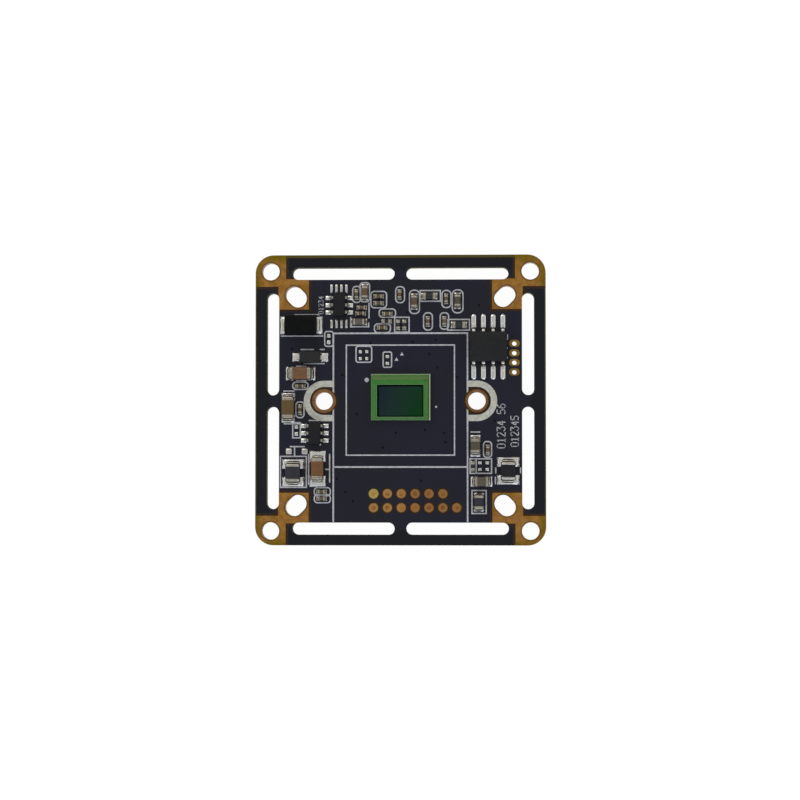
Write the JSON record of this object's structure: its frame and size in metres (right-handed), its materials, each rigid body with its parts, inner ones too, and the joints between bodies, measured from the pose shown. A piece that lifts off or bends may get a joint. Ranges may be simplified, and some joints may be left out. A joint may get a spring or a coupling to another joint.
{
  "type": "camera board",
  "caption": "Bare square camera circuit board with a bare image sensor for a screw-on lens holder, break-off rails, corner screw holes and side-entry wire sockets behind.",
  "frame": {"origin": "centre of the four-screw corner pattern, on the board's back face", "axes": "+Z out of the front face, along the lens axis; +X towards the edge with the empty four-hole header; +Y towards the edge with the empty eight-land footprint"},
  "size_m": [0.038, 0.038, 0.0072],
  "materials": {
    "solder_mask": "black satin solder mask over glass-epoxy laminate",
    "bare_gold": "bare copper land with thin gold, slightly dull",
    "tin": "tinned metal, satin",
    "print_ink": "white printed ink",
    "solder": "reflowed solder, bright satin",
    "silicon": "polished silicon",
    "pixel_filters": "dark green-blue colour filters",
    "green_dam": "green epoxy frame",
    "clear_glass": "clear polished glass",
    "moulding": "black moulding compound, fine matt",
    "ferrite": "dark grey ferrite",
    "ceramic": "brown capacitor ceramic",
    "resistor_coat": "dark glassy overcoat",
    "ceramic_dark": "dark ceramic",
    "lid_metal": "plated metal lid",
    "nylon": "natural nylon",
    "contact_gold": "plated contacts"
  },
  "bodies": {
    "root": {"board": "solder_mask", "corner_lands": "bare_gold", "lens_hole_lands": "bare_gold", "header_lands": "bare_gold", "test_lands": "bare_gold", "part_lands": "tin", "spare_lands": "tin", "white_print": "print_ink", "solder_fillets": "solder", "sensor_die": "silicon", "sensor_pixel_array": "pixel_filters", "sensor_dam": "green_dam", "sensor_cover_glass": "clear_glass", "sensor_solder_balls": "solder", "flash_body": "moulding", "flash_leads": "tin", "input_regulator_body": "moulding", "input_regulator_leads": "tin", "core_regulator_body": "moulding", "core_regulator_leads": "tin", "rectifier_body": "moulding", "rectifier_straps": "tin", "clamp_diode_body": "moulding", "clamp_diode_leads": "tin", "left_inductor_core": "ferrite", "left_inductor_terminals": "tin", "right_inductor_core": "ferrite", "right_inductor_terminals": "tin", "bulk_capacitor_bodies": "ceramic", "bulk_capacitor_ends": "tin", "filter_capacitor_bodies": "ceramic", "filter_capacitor_ends": "tin", "ferrite_bead_body": "ferrite", "ferrite_bead_ends": "tin", "small_capacitor_bodies": "ceramic", "small_capacitor_ends": "tin", "sense_resistor_bodies": "resistor_coat", "sense_resistor_ends": "tin", "chip_capacitor_bodies": "ceramic", "chip_capacitor_ends": "tin", "chip_resistor_bodies": "resistor_coat", "chip_resistor_ends": "tin", "processor_body": "moulding", "processor_terminals": "tin", "crystal_base": "ceramic_dark", "crystal_lid": "lid_metal", "main_connector_housing": "nylon", "main_connector_contacts": "contact_gold", "main_connector_tabs": "tin", "filter_connector_housing": "nylon", "filter_connector_contacts": "contact_gold", "filter_connector_tabs": "tin", "back_capacitor_bodies": "ceramic", "back_capacitor_ends": "tin", "back_lands": "tin", "back_solder": "solder"}
  },
  "joints": []
}
